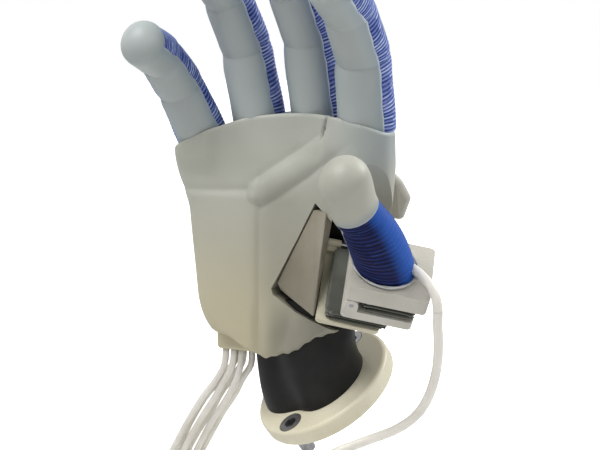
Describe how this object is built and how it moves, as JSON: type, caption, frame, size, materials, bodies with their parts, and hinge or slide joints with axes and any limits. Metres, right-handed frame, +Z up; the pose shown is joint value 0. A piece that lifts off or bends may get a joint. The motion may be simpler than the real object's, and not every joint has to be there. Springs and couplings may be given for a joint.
{
  "type": "soft robot hand",
  "caption": "Soft pneumatic robot hand with thread-wound silicone fingers, an opposable thumb on bellows, a silicone palm and a tilted arm flange.",
  "frame": {"origin": "centre of the arm flange's arm-side face", "axes": "+Z up along the hand towards the fingers, palm facing -Y, thumb on +X"},
  "size_m": [0.1778, 0.1757, 0.2728],
  "materials": {
    "cream_print": "selective laser sintered nylon, cream, slightly polished",
    "steel": "dark zinc-plated steel",
    "black_nylon": "black dyed printed nylon, satin",
    "white_print": "printed nylon, off-white",
    "coated_fabric": "grey-green coated fabric pouches",
    "blue_thread": "blue sewing thread wound round a silicone tube",
    "clear_silicone": "clear silicone glue",
    "hose_silicone": "translucent silicone hose",
    "silicone": "cast silicone, grey-white and slightly translucent"
  },
  "bodies": {
    "base": {"arm_flange": "cream_print", "flange_screws": "steel", "wrist_adapter": "black_nylon", "palm_frame": "black_nylon", "palm_skin": "silicone", "knuckle_bracket": "white_print", "thenar_wedge": "white_print", "thenar_plate": "cream_print", "lower_bellows": "coated_fabric", "lower_hinge_pin": "steel", "hose_1": "hose_silicone", "hose_2": "hose_silicone", "hose_3": "hose_silicone", "hose_4": "hose_silicone", "hose_5": "hose_silicone", "hose_6": "hose_silicone", "hose_coil": "hose_silicone", "thumb_hose": "hose_silicone"},
    "middle_plate": {"middle_plate": "white_print", "upper_bellows": "coated_fabric", "upper_hinge_pin": "steel"},
    "thumb_root": {"thumb_saddle": "white_print", "thumb_collar": "clear_silicone", "thumb_feed_hose": "hose_silicone", "thumb_chamber_1": "blue_thread", "thumb_pad_1": "silicone"},
    "thumb_end": {"thumb_chamber_2": "blue_thread", "thumb_pad_2": "silicone"},
    "index_1": {"index_chamber_1": "blue_thread", "index_pad_1": "silicone"},
    "index_2": {"index_chamber_2": "blue_thread", "index_pad_2": "silicone"},
    "index_3": {"index_chamber_3": "blue_thread", "index_pad_3": "silicone"},
    "middle_1": {"middle_chamber_1": "blue_thread", "middle_pad_1": "silicone"},
    "middle_2": {"middle_chamber_2": "blue_thread", "middle_pad_2": "silicone"},
    "middle_3": {"middle_chamber_3": "blue_thread", "middle_pad_3": "silicone"},
    "ring_1": {"ring_chamber_1": "blue_thread", "ring_pad_1": "silicone"},
    "ring_2": {"ring_chamber_2": "blue_thread", "ring_pad_2": "silicone"},
    "ring_3": {"ring_chamber_3": "blue_thread", "ring_pad_3": "silicone"},
    "little_1": {"little_chamber_1": "blue_thread", "little_pad_1": "silicone"},
    "little_2": {"little_chamber_2": "blue_thread", "little_pad_2": "silicone"},
    "little_3": {"little_chamber_3": "blue_thread", "little_pad_3": "silicone"}
  },
  "joints": [
    {"name": "index_curl_1", "type": "hinge", "parent": "base", "child": "index_1", "pos_m": [0.02504, -0.02861, 0.11646], "axis": [0.9985, 0.0174, -0.0523], "range_deg": [0, 30], "stiffness_Nm_per_rad": 0.25},
    {"name": "index_curl_2", "type": "hinge", "parent": "index_1", "child": "index_2", "pos_m": [0.02646, -0.03417, 0.14156], "axis": [0.9985, 0.0174, -0.0523], "range_deg": [0, 30], "stiffness_Nm_per_rad": 0.25},
    {"name": "index_curl_3", "type": "hinge", "parent": "index_2", "child": "index_3", "pos_m": [0.02748, -0.04565, 0.15732], "axis": [0.9985, 0.0174, -0.0523], "range_deg": [0, 30], "stiffness_Nm_per_rad": 0.25},
    {"name": "middle_curl_1", "type": "hinge", "parent": "base", "child": "middle_1", "pos_m": [-0.00065, -0.02157, 0.11879], "axis": [0.9997, -0.0175, 0.0175], "range_deg": [0, 30], "stiffness_Nm_per_rad": 0.25},
    {"name": "middle_curl_2", "type": "hinge", "parent": "middle_1", "child": "middle_2", "pos_m": [-0.00129, -0.02798, 0.14938], "axis": [0.9997, -0.0175, 0.0175], "range_deg": [0, 30], "stiffness_Nm_per_rad": 0.25},
    {"name": "middle_curl_3", "type": "hinge", "parent": "middle_2", "child": "middle_3", "pos_m": [-0.00183, -0.0396, 0.16843], "axis": [0.9997, -0.0175, 0.0175], "range_deg": [0, 30], "stiffness_Nm_per_rad": 0.25},
    {"name": "ring_curl_1", "type": "hinge", "parent": "base", "child": "ring_1", "pos_m": [-0.025, -0.02642, 0.11723], "axis": [0.9921, 0.0694, 0.1045], "range_deg": [0, 32], "stiffness_Nm_per_rad": 0.25},
    {"name": "ring_curl_2", "type": "hinge", "parent": "ring_1", "child": "ring_2", "pos_m": [-0.02757, -0.03141, 0.14496], "axis": [0.9921, 0.0694, 0.1045], "range_deg": [0, 32], "stiffness_Nm_per_rad": 0.25},
    {"name": "ring_curl_3", "type": "hinge", "parent": "ring_2", "child": "ring_3", "pos_m": [-0.02884, -0.04252, 0.16435], "axis": [0.9921, 0.0694, 0.1045], "range_deg": [0, 32], "stiffness_Nm_per_rad": 0.25},
    {"name": "little_curl_1", "type": "hinge", "parent": "base", "child": "little_1", "pos_m": [-0.04432, -0.03378, 0.10788], "axis": [0.9015, 0.2756, 0.3338], "range_deg": [0, 32], "stiffness_Nm_per_rad": 0.25},
    {"name": "little_curl_2", "type": "hinge", "parent": "little_1", "child": "little_2", "pos_m": [-0.04893, -0.04243, 0.12746], "axis": [0.9015, 0.2756, 0.3338], "range_deg": [0, 32], "stiffness_Nm_per_rad": 0.25},
    {"name": "little_curl_3", "type": "hinge", "parent": "little_2", "child": "little_3", "pos_m": [-0.04948, -0.05364, 0.1382], "axis": [0.9015, 0.2756, 0.3338], "range_deg": [0, 32], "stiffness_Nm_per_rad": 0.25},
    {"name": "thumb_lift", "type": "hinge", "parent": "base", "child": "middle_plate", "pos_m": [0.01506, -0.01228, 0.06667], "axis": [-0.8637, -0.4592, 0.2079], "range_deg": [0, 10], "stiffness_Nm_per_rad": 1, "deforming": ["lower_bellows"]},
    {"name": "thumb_swing", "type": "hinge", "parent": "middle_plate", "child": "thumb_root", "pos_m": [0.03303, -0.0467, 0.04892], "axis": [0.2645, -0.7639, -0.5887], "range_deg": [0, 18], "stiffness_Nm_per_rad": 1, "deforming": ["upper_bellows"]},
    {"name": "thumb_curl", "type": "hinge", "parent": "thumb_root", "child": "thumb_end", "pos_m": [0.03359, -0.05372, 0.08291], "axis": [0.2645, -0.7639, -0.5887], "range_deg": [0, 30], "stiffness_Nm_per_rad": 0.25}
  ],
  "couplings": [
    {"joint": "index_curl_2", "follows": "index_curl_1", "ratio": 1},
    {"joint": "index_curl_3", "follows": "index_curl_1", "ratio": 1},
    {"joint": "middle_curl_2", "follows": "middle_curl_1", "ratio": 1},
    {"joint": "middle_curl_3", "follows": "middle_curl_1", "ratio": 1},
    {"joint": "ring_curl_2", "follows": "ring_curl_1", "ratio": 1},
    {"joint": "ring_curl_3", "follows": "ring_curl_1", "ratio": 1},
    {"joint": "little_curl_2", "follows": "little_curl_1", "ratio": 1},
    {"joint": "little_curl_3", "follows": "little_curl_1", "ratio": 1}
  ]
}
